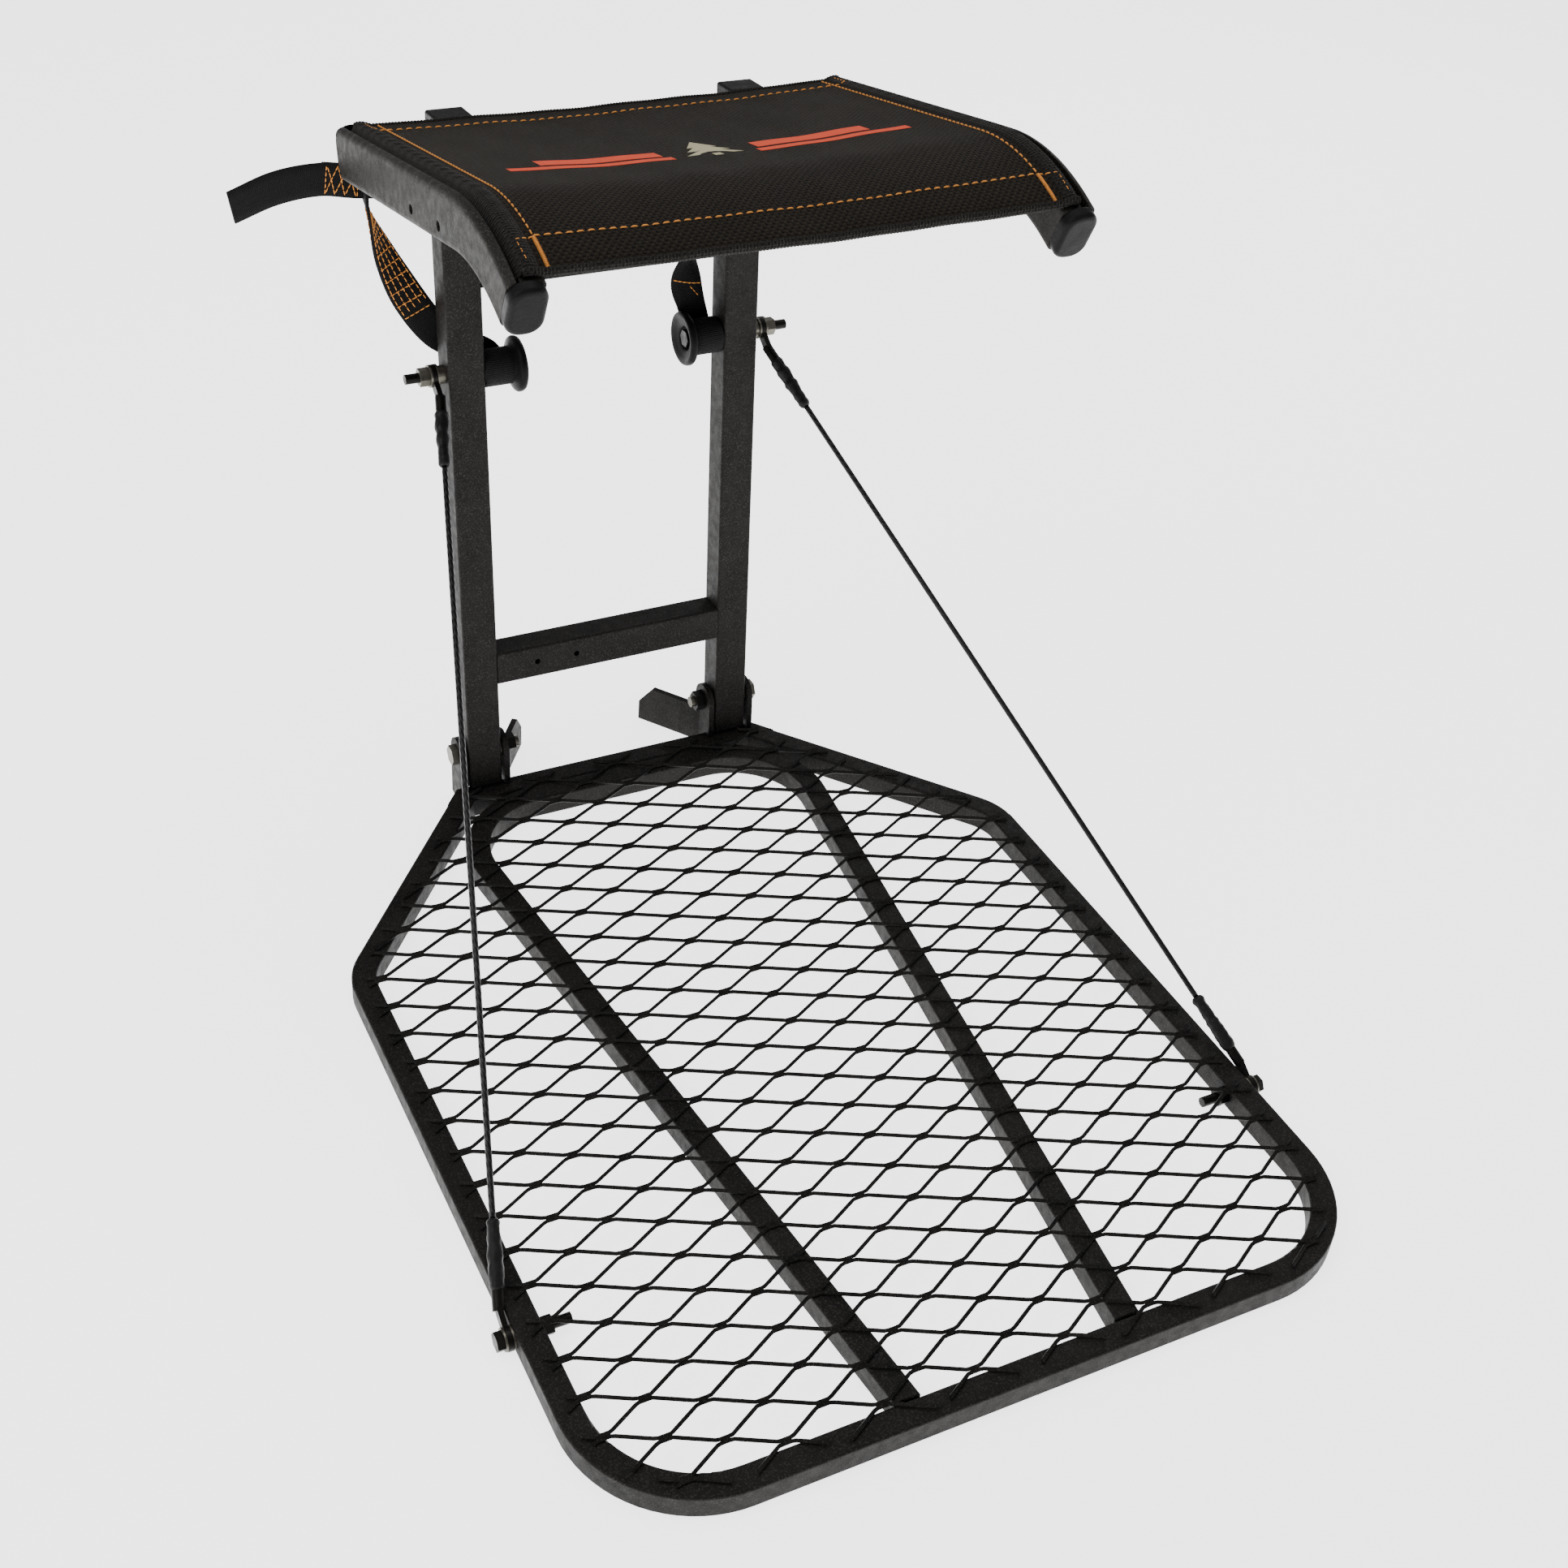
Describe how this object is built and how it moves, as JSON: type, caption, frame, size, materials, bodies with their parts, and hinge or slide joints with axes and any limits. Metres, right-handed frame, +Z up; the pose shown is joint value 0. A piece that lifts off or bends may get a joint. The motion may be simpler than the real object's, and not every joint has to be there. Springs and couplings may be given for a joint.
{
  "type": "hang-on tree stand",
  "caption": "Hang-on tree stand: expanded-mesh foot platform that folds against a two-post mast, cable stays, and a flip-up sling seat.",
  "frame": {"origin": "bottom centre of the stand's box, on the ground under the platform", "axes": "+Z up, -Y the hunter's front (platform nose), +Y towards the tree, +X the sitter's left-right direction; X = 0 is the plane of symmetry"},
  "size_m": [0.6354, 0.8174, 0.6626],
  "materials": {
    "frame_paint": "satin black powder coat with a fine speckle",
    "mesh_paint": "satin black powder coat",
    "rail_paint": "mottled black-brown powder coat",
    "zinc_steel": "bright zinc plate",
    "black_steel": "black oxide, slightly glossy",
    "black_plastic": "moulded black plastic",
    "heat_shrink": "ribbed black heat-shrink tube",
    "cable_jacket": "glossy black vinyl",
    "sling_fabric": "woven polyester mesh, brown-black, with orange stitching",
    "webbing": "black woven webbing with orange stitching"
  },
  "bodies": {
    "platform": {"platform_frame": "frame_paint", "platform_rear_tube": "frame_paint", "platform_inner_frame": "frame_paint", "platform_mesh": "mesh_paint", "tree_claw_left": "frame_paint", "tree_claw_right": "frame_paint", "hinge_ear_left": "frame_paint", "hinge_ear_right": "frame_paint", "hinge_bolts": "zinc_steel", "hinge_nuts": "black_steel", "hinge_washers": "zinc_steel", "lower_cable_bolts": "black_steel", "lower_cable_nuts": "black_steel", "lower_cable_washers": "zinc_steel", "lower_cable_lug_left": "black_steel", "lower_cable_lug_right": "black_steel", "lower_cable_sleeve_left": "heat_shrink", "lower_cable_sleeve_right": "heat_shrink", "cable_left": "cable_jacket", "cable_right": "cable_jacket"},
    "mast": {"post_left": "frame_paint", "post_right": "frame_paint", "cross_bar": "frame_paint", "upper_cross_bar": "frame_paint", "post_cap_left": "black_plastic", "post_cap_right": "black_plastic", "strap_spool_left": "black_plastic", "strap_spool_right": "black_plastic", "upper_cable_bolts": "black_steel", "upper_cable_nuts": "zinc_steel", "upper_cable_washers": "zinc_steel", "upper_cable_lug_left": "black_steel", "upper_cable_lug_right": "black_steel", "upper_cable_sleeve_left": "heat_shrink", "upper_cable_sleeve_right": "heat_shrink", "strap_loops": "webbing", "strap_left_riser": "webbing", "strap_right_riser": "webbing", "strap_back_run": "webbing", "strap_tail": "webbing"},
    "seat": {"seat_rail_left": "rail_paint", "seat_rail_right": "rail_paint", "rail_front_plugs": "black_plastic", "rail_rear_plugs": "black_plastic", "seat_sling": "sling_fabric", "sling_edge_cords": "sling_fabric", "seat_rear_spreader": "rail_paint", "seat_front_spreader": "rail_paint", "seat_hinge_plates": "rail_paint", "seat_stop_bar": "rail_paint", "seat_pivot_bolts": "zinc_steel", "seat_pivot_nuts": "black_steel"}
  },
  "joints": [
    {"name": "mast_fold", "type": "hinge", "parent": "platform", "child": "mast", "pos_m": [0, 0.34752, 0.05258], "axis": [1, 0, 0], "range_deg": [0, 55], "deforming": ["cable_left", "cable_right"]},
    {"name": "seat_flip", "type": "hinge", "parent": "mast", "child": "seat", "pos_m": [0, 0.38526, 0.59226], "axis": [-1, 0, 0], "range_deg": [0, 80]}
  ]
}
